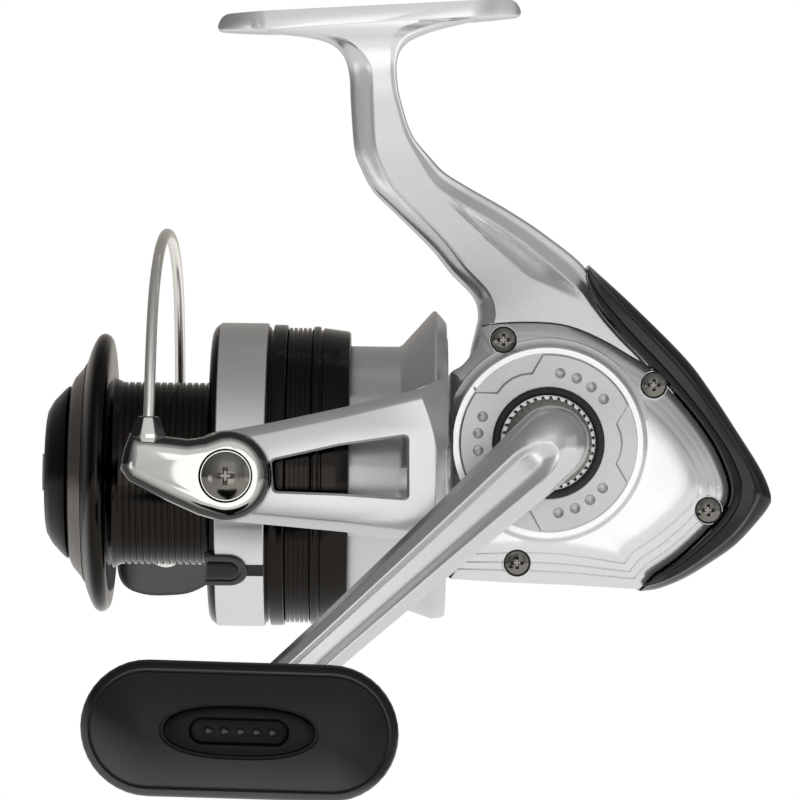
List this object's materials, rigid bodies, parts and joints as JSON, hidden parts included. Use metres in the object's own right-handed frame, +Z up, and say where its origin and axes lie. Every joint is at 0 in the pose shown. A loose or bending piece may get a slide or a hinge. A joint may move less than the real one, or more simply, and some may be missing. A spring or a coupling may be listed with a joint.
{
  "type": "spinning reel",
  "caption": "Front-drag spinning reel: crank and T-bar knob turn a geared rotor with a folding bail round an oscillating spool; T-shaped rod foot on a curved stem.",
  "frame": {"origin": "middle of the flat top of the rod foot", "axes": "+Z up, from the spool towards the rod; +X back, from the spool towards the rear guard; -Y towards the side that carries the handle"},
  "size_m": [0.1562, 0.1454, 0.1655],
  "materials": {
    "silver_paint": "metallic silver paint, satin",
    "rotor_silver": "metallic silver paint, satin",
    "satin_aluminium": "satin anodised",
    "black_plastic": "satin",
    "gloss_black": "gloss",
    "black_rubber": "matte",
    "dark_anodised": "gloss dark anodised",
    "polished_chrome": "polished",
    "steel": "bright steel",
    "brass": "machined",
    "zinc_alloy": "die-cast zinc, satin",
    "carbon_fibre": "dry fibre"
  },
  "bodies": {
    "frame": {"housing": "silver_paint", "side_cover": "silver_paint", "side_plate": "silver_paint", "seal_ring": "black_rubber", "cover_screw_1": "steel", "cover_screw_2": "steel", "cover_screw_3": "steel", "cover_screw_4": "steel", "rear_guard": "gloss_black", "guard_screw": "steel", "bearing_near": "steel", "bearing_far": "steel", "pinion_bearing": "steel", "anti_reverse_clutch": "steel", "guide_rod": "steel"},
    "crank": {"drive_gear": "zinc_alloy", "crank_shaft": "steel", "cross_gear": "zinc_alloy", "handle_collar": "satin_aluminium", "handle_cap": "satin_aluminium", "handle_arm": "satin_aluminium", "knob_axle": "steel"},
    "knob": {"handle_knob": "black_plastic", "knob_inlay": "gloss_black"},
    "rotor_assembly": {"rotor": "rotor_silver", "pinion_gear": "brass", "rotor_nut": "brass", "pivot_screw_near": "polished_chrome", "pivot_screw_far": "polished_chrome"},
    "bail": {"bail_lever": "polished_chrome", "bail_arm": "black_plastic", "bail_wire": "steel", "roller_screw": "polished_chrome"},
    "roller": {"line_roller": "polished_chrome"},
    "shaft": {"main_shaft": "steel", "oscillation_slider": "zinc_alloy"},
    "oscillator": {"oscillation_gear": "zinc_alloy"},
    "spool_assembly": {"spool": "dark_anodised", "spool_band": "satin_aluminium", "line_clip": "black_plastic", "drag_washer_1": "carbon_fibre", "drag_washer_2": "steel", "drag_washer_3": "carbon_fibre", "retaining_ring": "steel"},
    "drag": {"drag_knob": "black_plastic", "drag_nut": "brass"}
  },
  "joints": [
    {"name": "crank_turn", "type": "hinge", "parent": "frame", "child": "crank", "pos_m": [0.039, 0, -0.09335], "axis": [0, 1, 0], "continuous": true},
    {"name": "knob_turn", "type": "hinge", "parent": "crank", "child": "knob", "pos_m": [-0.0231, -0.08, -0.1501], "axis": [0, 1, 0], "continuous": true},
    {"name": "rotor_turn", "type": "hinge", "parent": "frame", "child": "rotor_assembly", "pos_m": [0, 0, -0.101], "axis": [1, 0, 0], "continuous": true},
    {"name": "bail_flip", "type": "hinge", "parent": "rotor_assembly", "child": "bail", "pos_m": [-0.0283, 0, -0.101], "axis": [0, -1, 0], "range_deg": [0, 100]},
    {"name": "roller_turn", "type": "hinge", "parent": "bail", "child": "roller", "pos_m": [-0.044, 0.037, -0.118], "axis": [0, 1, 0], "continuous": true},
    {"name": "shaft_slide", "type": "slide", "parent": "frame", "child": "shaft", "axis": [1, 0, 0], "range_m": [-0.01, 0.008]},
    {"name": "spool_slip", "type": "hinge", "parent": "shaft", "child": "spool_assembly", "pos_m": [-0.042, 0, -0.101], "axis": [1, 0, 0], "continuous": true},
    {"name": "drag_turn", "type": "hinge", "parent": "shaft", "child": "drag", "pos_m": [-0.065, 0, -0.101], "axis": [1, 0, 0], "range_deg": [-720, 720]},
    {"name": "oscillation_turn", "type": "hinge", "parent": "frame", "child": "oscillator", "pos_m": [0.0496, 0.01, -0.10395], "axis": [0, 1, 0], "continuous": true}
  ],
  "couplings": [
    {"joint": "rotor_turn", "follows": "crank_turn", "ratio": -4.9},
    {"joint": "oscillation_turn", "follows": "crank_turn", "ratio": -0.66667}
  ]
}
